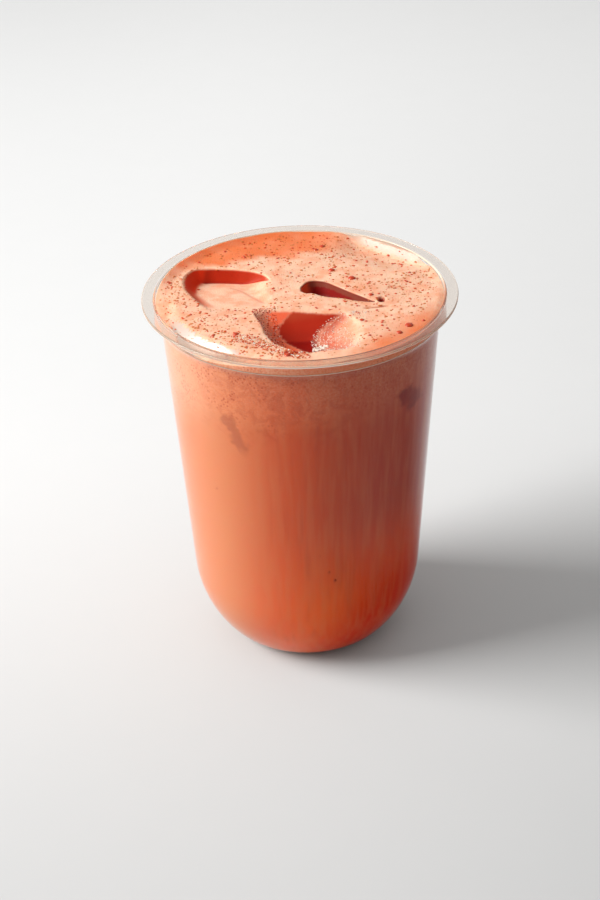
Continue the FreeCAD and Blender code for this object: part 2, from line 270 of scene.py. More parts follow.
class CupForm:
    """The cup's profile in metres, from the frame's box and the cup's settings."""

    def __init__(self, cup):
        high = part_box("cup")[1]
        self.rim = max(high.x, high.y)
        self.height = high.z
        self.lean = math.radians(cup.taper)
        self.cup = cup
        self.underside = self.height - cup.flange
        self.ledge_height = self.height - cup.collar

    def collar_radius(self, height, offset):
        """Radius of the collar at a height, moved in by an offset."""
        top = self.rim - self.cup.overhang
        return top + (height - self.underside) * math.tan(self.lean) - offset / math.cos(self.lean)

    def wall_radius(self, height, offset):
        """Radius of the tapered wall at a height, moved in by an offset."""
        top = self.collar_radius(self.ledge_height, 0) - self.cup.ledge
        run = (height - self.ledge_height) * math.tan(self.lean)
        return top + run - offset / math.cos(self.lean)

    def bowl(self, offset):
        """Points from the axis out over the base and the foot, and up the rounded bowl.

        The corner arc and the bowl arc share a tangent, and the bowl's arc about the
        axis ends where the tapered wall starts.
        """
        cup = self.cup
        ball = self.wall_radius(cup.bowl_centre, 0) * math.cos(self.lean)
        foot = math.sqrt((ball - cup.corner) ** 2 - (cup.bowl_centre - cup.corner) ** 2)
        turn = math.atan2(cup.corner - cup.bowl_centre, foot)
        ring = foot - cup.foot + offset * math.tan(math.pi / 8)
        heel = np.linspace(-math.pi / 2, turn, 12)
        side = np.linspace(turn, -self.lean, 26)[1:]
        small, large = cup.corner - offset, ball - offset
        base = [(0, cup.lift + offset), (ring - cup.lift, cup.lift + offset), (ring, offset)]
        corner = [(foot + small * math.cos(a), cup.corner + small * math.sin(a)) for a in heel]
        bowl = [(large * math.cos(a), cup.bowl_centre + large * math.sin(a)) for a in side]
        return base + corner + bowl

    def rise(self, bottom, top, offset, count):
        """Points up the tapered wall between two heights."""
        return [(self.wall_radius(z, offset), z) for z in np.linspace(bottom, top, count)]


# --- materials ---

class Value:
    """What a node gives, with the usual signs for sums on numbers."""

    def __init__(self, paint, socket):
        self.paint, self.socket = paint, socket

    def __add__(self, other):
        return self.paint.math("ADD", self, other)

    def __sub__(self, other):
        return self.paint.math("SUBTRACT", self, other)

    def __rsub__(self, other):
        return self.paint.math("SUBTRACT", other, self)

    def __mul__(self, other):
        return self.paint.math("MULTIPLY", self, other)

    def __abs__(self):
        return self.paint.math("ABSOLUTE", self)

    def ramp(self, low, high, start=0.0, end=1.0):
        """The value moved from one range to another, along a smooth curve."""
        inputs = {0: self, 1: low, 2: high, 3: start, 4: end}
        return self.paint.node("ShaderNodeMapRange", inputs, interpolation_type="SMOOTHSTEP")


class Paint:
    """The nodes of a material or of the world, and the few calls that lay them."""

    def __init__(self, owner, place="Object"):
        owner.use_nodes = True
        self.owner, self.tree = owner, owner.node_tree
        self.tree.nodes.clear()
        self.place = self.node("ShaderNodeTexCoord", output=place)

    def node(self, kind, inputs=None, output=0, **options):
        """Add a node, set its options, feed its inputs and return one of its outputs."""
        node = self.tree.nodes.new(kind)
        for option, value in options.items():
            setattr(node, option, value)
        for name, value in (inputs or {}).items():
            self.feed(node.inputs[name], value)
        return Value(self, node.outputs[output]) if node.outputs else None

    def feed(self, socket, value):
        """Link a socket to what a node gives, or set it."""
        if isinstance(value, Value):
            self.tree.links.new(value.socket, socket)
        elif socket.type == "RGBA":
            socket.default_value = (*tuple(value)[:3], 1)
        else:
            socket.default_value = value

    def math(self, operation, first, second=0.0, clamp=False):
        """One sum on numbers."""
        inputs = {0: first, 1: second}
        return self.node("ShaderNodeMath", inputs, operation=operation, use_clamp=clamp)

    def largest(self, first, *others):
        """The largest of some numbers."""
        for other in others:
            first = self.math("MAXIMUM", first, other)
        return first

    def blend(self, share, first, second):
        """A colour part way between two colours."""
        return self.node("ShaderNodeMix", {0: share, 6: first, 7: second}, 2, data_type="RGBA")

    def coats(self, base, *coats):
        """A colour under some coats, each given by its share and its colour."""
        for share, tint in coats:
            base = self.blend(share, base, tint)
        return base

    def cover(self, share, first, second):
        """A surface part way between two surfaces."""
        return self.node("ShaderNodeMixShader", {0: share, 1: first, 2: second})

    def noise(self, scale, detail=2.0, rough=0.5, place=None, distortion=0.0):
        """Cloudy noise, with its scale in cycles a metre."""
        inputs = {"Vector": place or self.place, "Scale": scale, "Detail": detail,
                  "Roughness": rough, "Distortion": distortion}
        return self.node("ShaderNodeTexNoise", inputs, "Fac")

    def cells(self, scale):
        """Distance to the nearest of scattered points, with its scale in cells a metre."""
        return self.node("ShaderNodeTexVoronoi", {"Vector": self.place, "Scale": scale}, "Distance")

    def split(self):
        """The coordinates X, Y and Z."""
        return [self.node("ShaderNodeSeparateXYZ", {0: self.place}, axis) for axis in range(3)]

    def attribute(self, name, output="Fac"):
        """A value that the mesh carries."""
        return self.node("ShaderNodeAttribute", None, output, attribute_name=name)

    def bump(self, height, distance, strength=1.0):
        """A normal tilted by a height field."""
        inputs = {"Height": height, "Distance": distance, "Strength": strength}
        return self.node("ShaderNodeBump", inputs)

    def principled(self, **inputs):
        """The main surface shader; underscores in names stand for spaces."""
        named = {name.replace("_", " "): value for name, value in inputs.items()}
        return self.node("ShaderNodeBsdfPrincipled", named)

    def soft(self, tint, roughness, share, shine, spread, scale, **more):
        """A surface that light spreads under, by its own share of the scale for each colour."""
        return self.principled(
            Base_Color=tint, Roughness=roughness, Subsurface_Weight=share,
            Specular_IOR_Level=shine, Subsurface_Radius=spread, Subsurface_Scale=scale, **more)

    def rays(self, *kinds):
        """1 for light rays of these kinds, and 0 for others."""
        paths = (self.node("ShaderNodeLightPath", output=f"Is {kind} Ray") for kind in kinds)
        return self.largest(*paths)

    def finish(self, shader, kind="ShaderNodeOutputMaterial"):
        """Set the surface and return the material or the world."""
        self.node(kind, {"Surface": shader})
        return self.owner


# Where the plastic shows painted pale lines of light: the height of the ledge and the radius of the
# mouth.
LEDGE_LINE, MOUTH_LINE = 0.11275, 0.04355

# X and Z in metres of the ice that shades the wall, the lean of its edge in degrees,
# and half its length and width.
LIT_ICE = (-0.0201, 0.0896, 24, 0.0080, 0.0025)
DARK_ICE = (0.0313, 0.0948, 20, 0.0050, 0.0034)

# How far red, green and blue light spreads in the foam, and the scale in metres.
FOAM_SPREAD = (1.0, 0.4, 0.25), 0.003


def clear_plastic(cup):
    """Thin moulded plastic: clear, with a frosted flange and painted light along its edges, and
    open to the light behind it.

    The outer edge of the flange, the ledge under the collar and the edge of the mouth
    carry painted light as thin pale lines; at the front the mouth's line is a painted dark
    line of shade, strongest on the right. Low on the side away from the light it hardly
    mirrors, a painted shade set there by place.
    """
    paint = Paint(bpy.data.materials.new("clear_plastic"))
    x, y, z = paint.split()
    radius = paint.math("SQRT", x * x + y * y)
    in_flange = radius.ramp(0.0438, 0.0445)
    # Painted glow: at the front the flange takes the drink's colour, for the drink's light seen
    # through it.
    front = in_flange * y.ramp(-0.024, -0.040)
    tint = paint.coats(cup.tint, (in_flange, cup.flange_tint), (front, cup.front_glow))
    normal = paint.bump(paint.noise(90, 3), 0.00004)
    glassy = dict(Base_Color=tint, Transmission_Weight=1.0, Normal=normal)
    # Painted shade: low on the side away from the light the wall mirrors less.
    low = z.ramp(0.062, 0.024) * x.ramp(-0.016, 0.010)
    clear = paint.cover(low, paint.principled(Roughness=0.05, IOR=1.42, **glassy),
                        paint.principled(Roughness=0.1, IOR=1.12, **glassy))

    # Painted light: thin pale lines at the flange's outer edge, the ledge and the mouth's edge;
    # only the flange's own frost, last below, is real.
    rim = radius.ramp(0.0470, 0.0474, 0.0, 0.32)
    at_ledge = abs(z - LEDGE_LINE).ramp(0.0002, 0.0005, 0.60, 0.0)
    ledge = radius.ramp(0.0428, 0.0433) * at_ledge
    mouth = abs(radius - MOUTH_LINE).ramp(0.0001, 0.0004, 0.45, 0.0)
    mouth = mouth * z.ramp(0.1174, 0.1178) * x.ramp(0.012, 0.032, 1.0, 1.9)
    frosted_and_glowing = paint.largest(rim, ledge, mouth, in_flange.ramp(0.0, 1.0, 0.003, 0.025))
    # Painted shade: at the front the mouth's line takes the dark mouth colour.
    near = y.ramp(0.012, -0.008) * mouth.ramp(0.1, 0.3)
    frost_and_glow = paint.principled(Base_Color=paint.blend(near, cup.frost_and_glow, cup.mouth), Roughness=0.3,
                            IOR=1.45, Normal=normal)
    through = paint.node("ShaderNodeBsdfTransparent", {0: (0.97, 0.965, 0.955)})
    unseen = paint.rays("Shadow", "Diffuse")
    return paint.finish(paint.cover(unseen, paint.cover(frosted_and_glowing, clear, frost_and_glow), through))


def ice_shade(paint, place, share):
    """How strongly ice close behind the wall darkens the cloudy juice in front of it.

    The shade fades out past the ice's length and width, along a wavering outline.
    """
    middle, height, lean, long, wide = place
    x, y, z = paint.split()
    waver = (paint.noise(330, 3, 0.6) - 0.5) * 0.006
    u, w = x - middle, z - height
    c, s = math.cos(math.radians(lean)), math.sin(math.radians(lean))
    down, over = abs(u * s - w * c + waver), abs(u * c + w * s + waver)
    shade = down.ramp(long, 0.6 * long, 0.0, share) * over.ramp(wide, 0.4 * wide)
    return shade * y.ramp(0.002, -0.002)


def side_colours(paint, drink):
    """Colour of the drink against the wall: foam above, juice below, bubbles between.

    The share of foam falls with height, with cloudy noise moving the boundary up and
    down, and grains of two sizes stand for the bubbles in it; painted light raises it in
    the collar and, as a painted reflection, at the far left in the upper part. Faint
    upright streaks run down the juice. Its colour holds painted shade and light: darker
    and redder away from the light, brighter low on the lit side, with a painted red glow
    low on the side away from the light, and the collar painted warm as a glow, most
    towards the shaded side.
    """
    x, _, height = paint.split()
    moved = height + paint.noise(70, 3, 0.6) * 0.014 - 0.007
    # Painted light: the juice brighter low on the lit side.
    low = height.ramp(0.066, 0.018) * x.ramp(-0.024, 0.0)
    # Painted glow: red low on the side away from the light.
    across = x + height.ramp(0.032, 0.004, 0.0, 0.014)
    glow = height.ramp(0.062, 0.022) * across.ramp(0.004, 0.027)
    upright = paint.node("ShaderNodeMapping", {"Vector": paint.place, "Scale": (1, 1, 0.03)})
    pale_streak = paint.noise(420, 3, 0.7, upright).ramp(0.40, 0.64, 0.0, 0.20)
    deep_streak = paint.noise(520, 2, 0.6, upright).ramp(0.50, 0.72, 0.0, 0.20)

    # Foam share: the foam's own band, with painted light making it paler in the collar and, as a
    # painted reflection, at the far left in the upper part.
    foam_and_painted_light = moved.ramp(0.088, 0.112, 0.0, 0.17) + height.ramp(0.1115, 0.1135, 0.0, 0.56)
    foam_and_painted_light = foam_and_painted_light * paint.noise(1700, 2, 0.65).ramp(0.34, 0.62, 0.35, 1.25)
    foam_and_painted_light = foam_and_painted_light + x.ramp(-0.022, -0.036, 0.0, 0.35) * moved.ramp(0.080, 0.100)
    # Painted glow: the collar painted warm, most towards the shaded side; the band below it is the
    # foam's own warmth.
    collar = height.ramp(0.111, 0.1135) * x.ramp(-0.01, 0.012, 0.25, 0.60)
    warm_band_and_glow = paint.math("ADD", moved.ramp(0.088, 0.104, 0.0, 0.18), collar, clamp=True)
    swirl = paint.noise(210, 4, 0.72, distortion=0.7).ramp(0.44, 0.62, 0.0, 0.30)
    swirl = swirl * x.ramp(-0.034, -0.012, 0.35, 1.0)
    band = moved.ramp(0.084, 0.094) * height.ramp(0.1135, 0.111)
    specks = paint.cells(1000).ramp(0.16, 0.40, 0.6, 0.0)
    specks = specks * paint.noise(160).ramp(0.44, 0.60)
    return paint.coats(
        drink.juice,
        # Painted shade: the juice darker and redder across the side, away from the light.
        (x.ramp(-0.028, 0.0), drink.juice_half_shaded),
        (x.ramp(-0.008, 0.027), drink.juice_dark_and_shade),
        (low, drink.juice_lit_low),
        (glow, drink.juice_glow),
        (pale_streak, drink.juice),
        (deep_streak * x.ramp(-0.016, -0.004), drink.juice_dark_and_shade),
        (foam_and_painted_light, drink.foam),
        (warm_band_and_glow, drink.foam_warm),
        (ice_shade(paint, LIT_ICE, 0.42), drink.ice),
        # Painted shade: on the shaded side the ice's patch takes the darker ice colour.
        (ice_shade(paint, DARK_ICE, 0.9), drink.ice_dark),
        (swirl * band, drink.juice_dark_and_shade),
        (specks * moved.ramp(0.086, 0.100), drink.juice_dark_and_shade))


def juice_material(drink):
    """Cloudy juice: soft light spreads in it, redder the deeper it has come, over colours with
    painted light and shade in them.

    The light that it throws on the floor is greyer than its own colour.
    """
    paint = Paint(bpy.data.materials.new("juice"))
    thrown = paint.rays("Diffuse") * 0.75
    base = paint.blend(thrown, side_colours(paint, drink), (0.27, 0.21, 0.17))
    share = paint.split()[2].ramp(0.090, 0.095, 0.55, 0.0)
    return paint.finish(paint.soft(base, 0.6, share, 0.0, (1.0, 0.28, 0.12), 0.006))


def foam_material(drink):
    """Foam: a mat of tiny bubbles above, and the banded side against the wall."""
    paint = Paint(bpy.data.materials.new("foam"))
    on_top, wet, gloss = (paint.attribute(name) for name in ("on_top", "wet", "gloss"))
    dry = 1.0 - wet
    froth, fine = paint.cells(2300), paint.noise(1500, 3, 0.6)
    cloud = paint.noise(230, 4, 0.6).ramp(0.38, 0.68, 0.0, 0.42)
    dark = froth.ramp(0.0, 0.22, 0.6, 0.0) * fine.ramp(0.45, 0.60)
    top = paint.coats(paint.attribute("tone", "Color"),
                      (cloud * dry, drink.foam_warm), (dark * dry, drink.pore))
    grain = paint.bump(froth * 0.6 + fine, 0.00016, dry * on_top * 0.7)
    skin = paint.soft(top, 0.5, 0.35, 0.15, *FOAM_SPREAD, Normal=grain)
    glare = paint.soft(drink.gleam, 0.30, 0.35, 1.0, *FOAM_SPREAD)
    share = paint.split()[2].ramp(0.0955, 0.101, 0.0, 0.35)
    wall = paint.soft(side_colours(paint, drink), 0.6, share, 0.0, *FOAM_SPREAD)
    return paint.finish(paint.cover(on_top, wall, paint.cover(gloss, skin, glare)))


def bubble_material(name, tint, roughness, glow):
    """A thin wet skin over a small hollow, which shines where it is smooth."""
    paint = Paint(bpy.data.materials.new(name))
    deep = tuple(c * 0.78 for c in tint)
    base = paint.blend(paint.noise(700).ramp(0.3, 0.7), deep, tint)
    shine = 0.5 if roughness < 0.4 else 0.05
    return paint.finish(paint.soft(base, roughness, glow, shine, (1.0, 0.3, 0.2), 0.0008))


def ice_material(drink):
    """Ice in juice: cloudy, with the juice's colour in it."""
    paint = Paint(bpy.data.materials.new("ice"))
    cloud = paint.noise(420, 3, 0.6, distortion=0.8).ramp(0.40, 0.75, 0.0, 0.5)
    base = paint.blend(cloud, drink.ice, drink.ice_dark)
    return paint.finish(paint.soft(base, 0.2, 0.4, 0.5, (1.0, 0.35, 0.25), 0.003))


def floor_material(stage):
    """A pale seamless surface, with painted shade towards the front and left, a painted shadow to
    the right of the cup and painted light far off.
    """
    paint = Paint(bpy.data.materials.new("pale_floor"))
    x, y, _ = paint.split()
    # Painted shade: darker towards the front and at the left.
    front = y.ramp(-0.20, 0.14, 0.73, 1.0)
    left = x.ramp(-0.20, 0.0, 0.895, 0.965)
    # Painted shadow: deeper shade just right of the cup.
    painted_shadow = x.ramp(0.0, 0.20) * y.ramp(0.04, 0.16, 0.12, 0.02)
    # Painted light: brighter far off, most to the right.
    far = y.ramp(0.12, 0.55) * x.ramp(-0.3, 0.32, 0.06, 0.165)
    cloud = paint.noise(60, 3).ramp(0.0, 1.0, 0.995, 1.005)
    level = front * left * (1.0 - painted_shadow + far) * cloud
    inputs = {0: tuple(stage.floor), "Scale": level}
    tint = paint.node("ShaderNodeVectorMath", inputs, operation="SCALE")
    return paint.finish(paint.principled(Base_Color=tint, Roughness=0.7))


# --- the foam's surface, in millimetres ---

FAR_EDGE_OF_PRINT = ((-38, -36, -34.5, -32, -27, -19.5, -14.5, -11, -9.2, -6),
                     (3, 14, 18.2, 20, 20.6, 19.4, 17.7, 15.1, 12.2, 3))
LEFT_EDGE_OF_PRINT = ((-14, -8, -3, 2, 6, 12, 16, 20),
                      (-22, -27.5, -30.5, -33, -34.8, -35.6, -35.2, -33))
RIGHT_EDGE_OF_PRINT = ((-14, -8, -4, 0, 4, 8, 13, 18), (-9, -8, -8, -9, -10, -9.5, -8.5, -9))
FAR_EDGE_OF_GASH = ((0, 1, 2, 4.6, 8, 11.2, 15.1, 18.7, 22.3),
                    (4, 7.5, 9.4, 10.4, 9.1, 5.6, 1.6, -1.9, -5.3))
NEAR_EDGE_OF_GASH = ((0, 1, 2.5, 4, 5, 8, 13, 17, 22), (3.5, 1.4, 0.2, 1.4, -0.5, -2, -3, -5.0, -6))
FAR_EDGE_OF_SCOOP = ((-16, -13.5, -10, -3, 5, 13, 15, 18),
                     (-14, -11, -9, -9.3, -10.7, -11.7, -14, -20))
LEFT_EDGE_OF_SCOOP = ((-38, -35, -30, -24, -18, -12, -9), (4, -3, -8, -10.5, -11.5, -13.5, -14))
NEAR_EDGE_OF_SCOOP = ((-14, -8, -3, 2, 6, 13, 17), (-20, -30, -35, -37, -36, -35.5, -33))
LEFT_OF_POOL = ((-30, -23, -19.6, -17, -14.8, -13.2, -11.8, -10.4),
                (3, 1, -2.6, -4.9, -6.8, -7.4, -6, -2.5))
RIGHT_OF_POOL = ((-30, -24.2, -17.8, -15.4, -13.8, -12.8, -11.4), (8, 6.2, 4.2, 4.9, 7.0, 10.0, 14))
CREASE_OF_PRINT = ((-4.5, 2.6, 9.2, 12.2, 12.9), (-10, -14.4, -17.6, -20, -22))


def along(table, value):
    """Read a table of places by straight lines, with its corners rounded over.

    It is the mean of seven readings, up to 1.1 mm to each side.
    """
    value = np.asarray(value, float)
    return sum(np.interp(value + shift, *table) for shift in np.linspace(-1.1, 1.1, 7)) / 7


def to_far_right(x, y):
    """How far a place lies towards the far right, about 48 degrees round from the right."""
    return (x + 1.11 * y) / math.hypot(1, 1.11)


def near_left_share(angle):
    """How much a direction faces the near left, where the foam rounds over most."""
    return np.exp(-(angle_from(angle, np.radians(-139)) / 0.50) ** 2)


def pinhole(x, y):
    """Distance from the small hole past the gash's tip, squared; 1 at its edge."""
    return ((x - 24.3) / 1.2) ** 2 + ((y + 4.2) / 1.9) ** 2


def foam_level(x, y, edge, top):
    """Height of the foam before the dips: nearly flat, creeping up the wall at the far side.

    It rounds over near the wall, most towards the near left. At the far right it dips,
    and climbs the wall as one even slope. Slow waves keep it from being flat.
    """
    r, angle = np.hypot(x, y), np.arctan2(y, x)
    towards = to_far_right(x, y)
    far_right = step(26, 38, towards) * step(0.48, 0.22, angle_from(angle, np.radians(46)))
    far = step(-0.25, 0.5, np.sin(angle)) * (1 - far_right)
    level = top - 0.25 - 1.5 * far_right
    level = level + 0.12 * np.sin(x / 3.1 + 0.6) * np.cos(y / 4.3)
    level = level + 0.10 * np.sin(x / 6.7 - y / 5.1)
    near_left = near_left_share(angle)
    width = 2.2 + 5.4 * near_left
    drop = (0.55 + 0.8 * near_left) * step(edge - width, edge + 0.4 * width, r) * (1 - far_right)
    drop = drop * (1 - far) + 2.7 * near_left * step(edge - 6.4, edge - 2.6, r)
    creep = 1.0 * far * np.clip((r - edge + 3.4) / 3.2, 0, 1) ** 1.5
    creep = creep + 0.92 * far_right * np.clip(towards - edge + 4.0, 0, None) ** 1.05
    return np.minimum(level - drop + creep, top + 0.8)


def walled(floor, level, *walls):
    """A floor with walls up to the level, each given by its distance, slope and softness."""
    for inside, slope, soft in walls:
        floor = smooth_max(floor, level - inside * slope, soft)
    return floor


def print_field(x, y, level):
    """The flat print: a floor that climbs to the near side, and three sloping walls."""
    floor = level - 4.6 + np.clip(19 - y, 0, None) * math.tan(math.radians(9.5))
    return walled(floor, level,
                  (along(FAR_EDGE_OF_PRINT, x) - y, 2.6, 0.8),
                  (x - along(LEFT_EDGE_OF_PRINT, y), 1.15, 1.6),
                  (along(RIGHT_EDGE_OF_PRINT, y) - x, 0.62, 1.6))


def gash_field(x, y, level):
    """The gash: steep walls down to a narrow bottom that rises towards its tip."""
    return walled(level - 5.0 + 0.12 * np.clip(x, 0, None), level,
                  (along(FAR_EDGE_OF_GASH, x) - y, 2.2, 0.5),
                  (y - along(NEAR_EDGE_OF_GASH, x), 2.6, 0.5),
                  (x - 0.2, 2.4, 0.6), (22.6 - x, 2.0, 0.4))


def scoop_field(x, y, level):
    """The scoop: a bowl with a short steep left side and a long easy right side."""
    return walled(level - 7.2, level,
                  (along(FAR_EDGE_OF_SCOOP, x) - y, 1.15, 2.2),
                  (y - along(NEAR_EDGE_OF_SCOOP, x), 0.62, 2.2),
                  (x - along(LEFT_EDGE_OF_SCOOP, y), 1.7, 1.8), (17.5 - x, 0.58, 3.0))


def pinhole_field(x, y, level):
    """A small hole past the gash's tip, and a hair-thin groove beside it."""
    across = np.abs(y + 9.5 - (x - 19) * 0.15)
    ends = step(18.5, 20, x) * (1 - step(25.5, 27.5, x))
    groove = level - 0.6 * np.exp(-(across / 0.45) ** 2) * ends
    return np.minimum(level - 2.0 * np.clip(1 - pinhole(x, y), 0, 1) ** 0.7, groove)


def foam_surface(x, y, edge, top):
    """Height of the foam with its dips, its level before them, and each dip's own height."""
    level = foam_level(x, y, edge, top)
    print_, gash, scoop = (f(x, y, level) for f in (print_field, gash_field, scoop_field))
    height = smooth_min(level, print_, 0.7)
    height = smooth_min(height, scoop, 1.0)
    height = smooth_min(height, gash, 0.35)
    height = np.minimum(height, pinhole_field(x, y, height))
    return height, level, print_, gash, scoop


def foam_tones(x, y, height, level, print_, gash, scoop, drink):
    """Colour, share of juice red and gloss of the foam's surface.

    Steep far and left walls of the print, the gash and the middle of the scoop take the
    juice's red, in part as painted shade; the rest keeps its skin of bubbles. Painted shade
    darkens the gash, the hole, the deep part of the print's far wall and the pool towards
    its near end. Painted light lightens the shaded left side of the scoop, the print's left
    wall and far corner, the top and right of its far wall and the pool's far edge.
    """
    pale, warm, wet, deep, bubble = (np.array(tint) for tint in (
        drink.foam, drink.foam_warm, drink.wet, drink.wet_in_shade, drink.bubble))
    sunk = level - height
    r, angle = np.hypot(x, y), np.arctan2(y, x)
    ragged, cloud = waves(x, y), waves(x / 7, y / 6)

    # warm patches of the open foam
    back = 0.90 * step(25 + 0.22 * x, 32 + 0.22 * x, y + 2.0 * cloud) * step(24, 2, x)
    left = 0.10 * step(31, 37, r) * step(-14, -24, x) * step(-26, -14, y + 3 * cloud)
    near_right = 0.75 * step(32, 41, r) * step(10, 24, x) * step(-8, -18, y)
    spot = 0.45 * np.exp(-((x - 19) / 3.5) ** 2 - ((y - 3.5) / 4) ** 2)
    band = (y + 28 + 9.5 * step(-19, 0, x)) / 4.0
    near_left = 0.22 * np.exp(-band ** 2) * step(-21, -14, x) * step(4, 0, x) * (0.7 + 0.6 * ragged)
    warmth = np.maximum.reduce([back, left, near_right, spot, near_left]) + 0.06 + 0.12 * cloud

    # walls and floor of the print, with painted shade and painted light on the walls
    far = along(FAR_EDGE_OF_PRINT, x) - y
    side = x - along(LEFT_EDGE_OF_PRINT, y)
    in_print = step(0.15, 0.75, level - print_)
    far_wall = in_print * step(2.3, 1.7, far) * step(-7, -11.5, x + 0.5 * ragged)
    left_wall = in_print * step(-0.4, 0.8, side) * step(4.8, 2.0, side) * step(-13, 8, y)
    corner = in_print * step(0.3, 1.0, side) * step(4.6, 3.2, side) * step(7.0, 11.0, y)
    crease = np.exp(-((x - along(CREASE_OF_PRINT, y)) / 0.5) ** 2)
    crease = crease * step(-5, -2, y) * step(13.5, 12.5, y)

    # the gash, filled with painted shade and lighter at its left end by painted light, with a pale
    # strip on its far wall and a dark line above that
    gash_far = step(2.6, 1.8, along(FAR_EDGE_OF_GASH, x) - y)
    in_gash = step(0.15, 0.45, level - gash)
    strip = in_gash * step(2.1, 1.5, sunk + 0.25 * ragged) * gash_far * step(2.0, 4.0, x)
    strip = np.maximum(strip, in_gash * step(14.5, 17, x))
    line = in_gash * step(0.75, 0.45, sunk) * gash_far

    # the scoop, with its pool of juice, painted light on its shaded left side and a painted shadow
    # along its left lip
    from_lip = x - along(LEFT_EDGE_OF_SCOOP, y)
    in_scoop = step(0.3, 1.1, level - scoop + 0.12 * ragged)
    right_of = x - along(RIGHT_OF_POOL, y) + 0.8 * ragged
    pool = step(-0.7, 1.1, x - along(LEFT_OF_POOL, y) + 0.7 * ragged)
    pool = in_scoop * pool * step(2.6, -1.2, right_of) * step(-37.5, -35.5, y)
    blush = in_scoop * (1 - pool) * step(8.5, 1.5, right_of) * step(-3, 4, x)
    pink = in_scoop * step(-1.0, 3.0, right_of) * step(17, 13, x)
    left_side = in_scoop * (1 - pool) * step(2, -2, x) * step(-35, -31, y)
    lip = np.exp(-((from_lip - 0.1) / 0.35) ** 2) * step(-34, -31, y) * step(-9, -11, y)

    # the pinhole, the groove beside it and a dark red patch in front of the scoop
    hole = 1 - step(0.7, 1.2, pinhole(x, y))
    groove = step(0.25, 0.5, sunk) * step(18, 19, x) * step(-7, -7.6, y) * step(-11.5, -11, y)
    ridge = np.exp(-((x + 3.0) / 2.8) ** 2 - ((y + 36.9) / 1.6) ** 2)

    # Share of juice red: the pool's own juice, and in part painted shade on the print's walls, in
    # the gash, the hole and along the crease.
    wet_and_shade_share = np.maximum.reduce([
        far_wall, corner, 0.95 * left_wall, in_gash, pool, hole, 0.6 * groove, 0.72 * blush,
        0.50 * crease, step(0.25, 0.6, ridge + 0.15 * ragged)])
    # Painted shade: darker in the gash, the hole, the deep part of the print's far wall, on the
    # patch in front of the scoop and towards the pool's near end.
    painted_shade = np.maximum.reduce([
        0.15 * left_wall * (1 - corner), 0.35 * step(3.4, 4.4, sunk) * far_wall, in_gash,
        0.7 * hole, 0.6 * ridge,
        pool * (0.12 + 0.25 * step(-13, -16, y) + 0.6 * step(-16.3, -17.3, y))])
    orange = 0.88 * mix(wet, warm, 0.22)
    past_lip = step(0.5, 6.0, from_lip)[:, None]
    tone = pale
    for tint, share in (
            (warm, np.clip(warmth, 0, 1)),
            (mix(pale, bubble, 0.46) * 0.86, 0.8 * pink),
            # Juice red, darkened by the painted shade.
            (mix(wet, deep, painted_shade[:, None]), wet_and_shade_share),
            # Painted light: the scoop's shaded left side made lighter.
            (mix(mix(pale, warm, 0.35), 1.3 * bubble, past_lip), 0.9 * left_side),
            # Painted light: the print's shaded left wall a lighter red.
            (1.1 * bubble, 0.80 * left_wall),
            # Painted glow: the print's far corner.
            (1.2 * np.array(drink.juice_glow), 0.80 * corner),
            # Painted light: the gash lighter at its left end.
            (1.3 * bubble, 0.80 * in_gash * step(4.5, 1.5, x)),
            # Painted light: the pool's far edge.
            (orange, 0.8 * pool * step(-12.8, -10.6, y)),
            # Painted light: the top and right of the print's far wall.
            (orange, far_wall * (0.4 * step(1.0, 0.2, sunk) + 0.4 * step(-24, -10, x))),
            (0.72 * np.array(drink.ice), 0.9 * strip),
            (deep * 0.8, 0.75 * line),
            # Painted shadow: a dark line along the scoop's left lip.
            (wet * 0.5, 0.6 * lip)):
        tone = mix(tone, tint, share[:, None])

    shoulder = near_left_share(angle) * step(37.0 + 1.2 * ragged, 38.6 + 1.2 * ragged, r)
    shoulder = shoulder * step(41.6, 40.6, r)
    far_gleam = 0.55 * step(39.4, 41.0, to_far_right(x, y) + 0.3 * ragged)
    gloss = np.maximum(step(0.35, 0.75, shoulder), far_gleam)
    return tone, np.maximum(wet_and_shade_share, 0.6 * left_side), gloss


def waves(x, y):
    """A lively field of a few crossed waves, from about -1 to 1."""
    first = np.sin(1.9 * x + 1.3 * np.sin(1.1 * y)) * np.cos(2.3 * y + np.sin(1.7 * x))
    return 0.6 * first + 0.4 * np.sin(4.7 * x + 2.1 * y) * np.cos(4.1 * y - 1.9 * x)


def scatter(total, seed, low=0, high=1):
    """Even random numbers between two bounds, the same on every run."""
    return np.random.default_rng(SEED + seed).uniform(low, high, total)


def polar(radius, angle):
    """X and Y of places at a radius and an angle."""
    return radius * np.cos(angle), radius * np.sin(angle)


def spread(total, seed, least, more, power):
    """Random sizes, most of them close to the least."""
    return least + more * scatter(total, seed) ** power


def domes(name, centres, radii, rises, material, rings, segments):
    """Many small domes as one closed mesh.

    Each is half an ellipsoid over its centre, (r cos u cos a, r cos u sin a, h sin u),
    closed below by a shallower one turned down.
    """
    u = np.linspace(0, np.pi / 2, rings + 1)[:-1]
    u = np.concatenate([-u[:0:-1], u])
    a = np.linspace(0, 2 * np.pi, segments, endpoint=False)
    lift = np.where(u[:, None] < 0, 0.6, 1.0) * np.sin(u)[:, None] + 0 * a
    unit = np.stack([np.cos(u)[:, None] * np.cos(a), np.cos(u)[:, None] * np.sin(a), lift], -1)
    one, faces = capped(unit, (0, 0, -0.6), (0, 0, 1))
    scale = np.stack([radii, radii, rises], -1)
    verts = centres[:, None, :] + one[None] * scale[:, None, :]
    shift = np.arange(len(centres)) * len(one)
    all_faces = []
    for width in (4, 3):
        group = np.array([f for f in faces if len(f) == width])
        all_faces += (group[None] + shift[:, None, None]).reshape(-1, width).tolist()
    return mesh_object(name, verts.reshape(-1, 3) * MM, all_faces, material)


# --- operators ---

# How far the cup's inside runs down from the ledge as part of the rounded rim, in metres.
RUN_UNDER_LEDGE = 0.004


